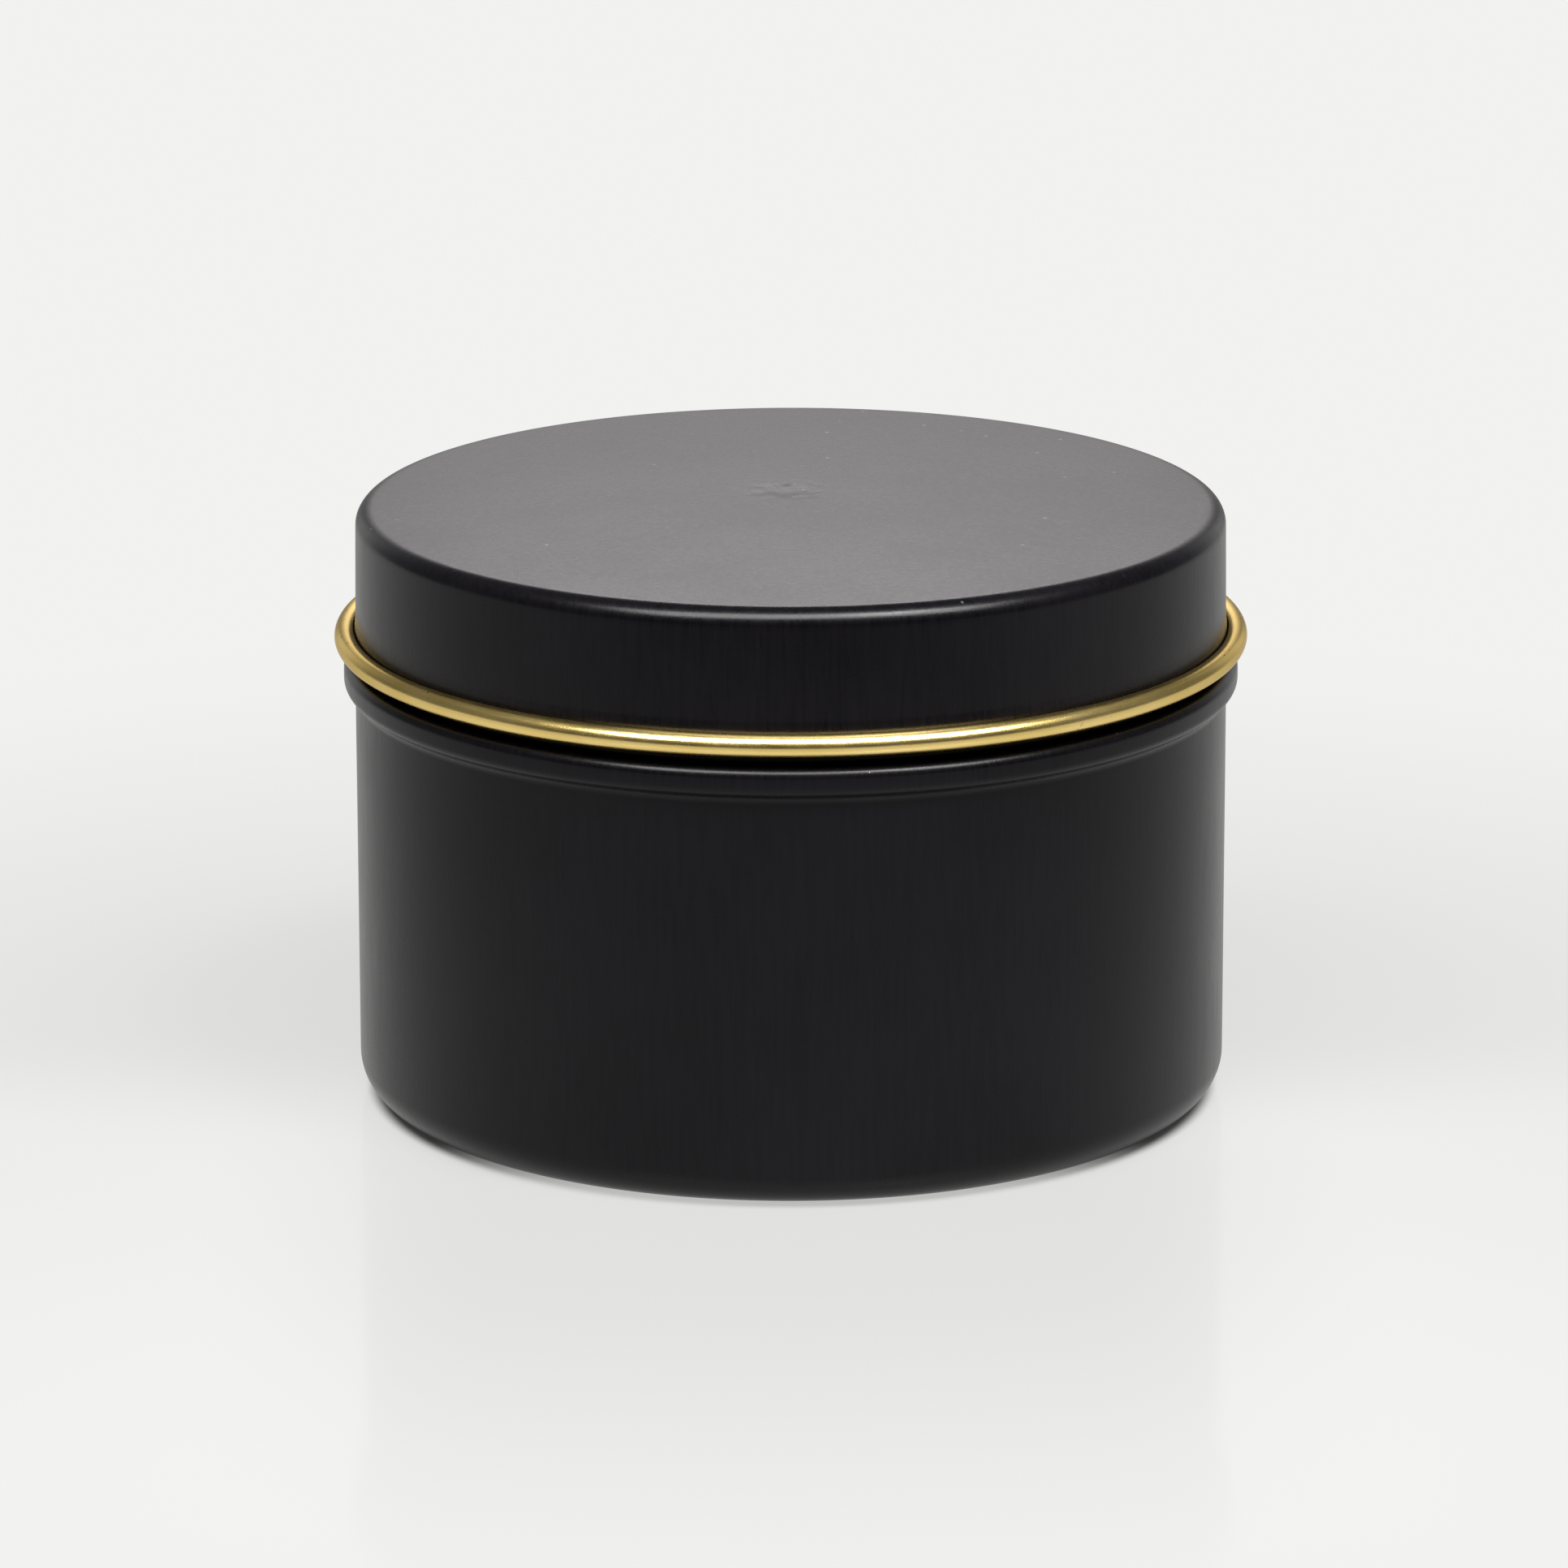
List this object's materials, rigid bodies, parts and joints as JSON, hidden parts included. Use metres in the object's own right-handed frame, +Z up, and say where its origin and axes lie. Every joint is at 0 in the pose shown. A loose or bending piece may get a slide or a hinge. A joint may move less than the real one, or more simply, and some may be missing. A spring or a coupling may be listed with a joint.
{
  "type": "candle tin",
  "caption": "Round black drawn-metal candle tin with a slip lid, a gold rolled edge and a rounded base, holding a poured wax candle with a wick.",
  "frame": {"origin": "centre of the base, on the plane of the ring that the tin stands on", "axes": "+Z up along the tin's axis, towards the lid; +X and +Y are equal, because the tin is round, and the wick's tip leans towards +X"},
  "size_m": [0.0806, 0.0806, 0.053],
  "materials": {
    "black_coating": "satin",
    "gold_lacquer": "satin",
    "wax": "satin",
    "cotton_wick": "matte",
    "paper_core": "matte",
    "tinned_steel": "satin",
    "foam_tape": "matte"
  },
  "bodies": {
    "tin": {"tin_body": "black_coating", "wax_fill": "wax", "wick_braid": "cotton_wick", "wick_core": "paper_core", "wick_sustainer": "tinned_steel", "wick_sticker": "foam_tape"},
    "lid": {"tin_lid": "black_coating"}
  },
  "joints": [
    {"name": "lid_lift", "type": "slide", "parent": "tin", "child": "lid", "axis": [0, 0, 1], "range_m": [0, 0.06]}
  ]
}
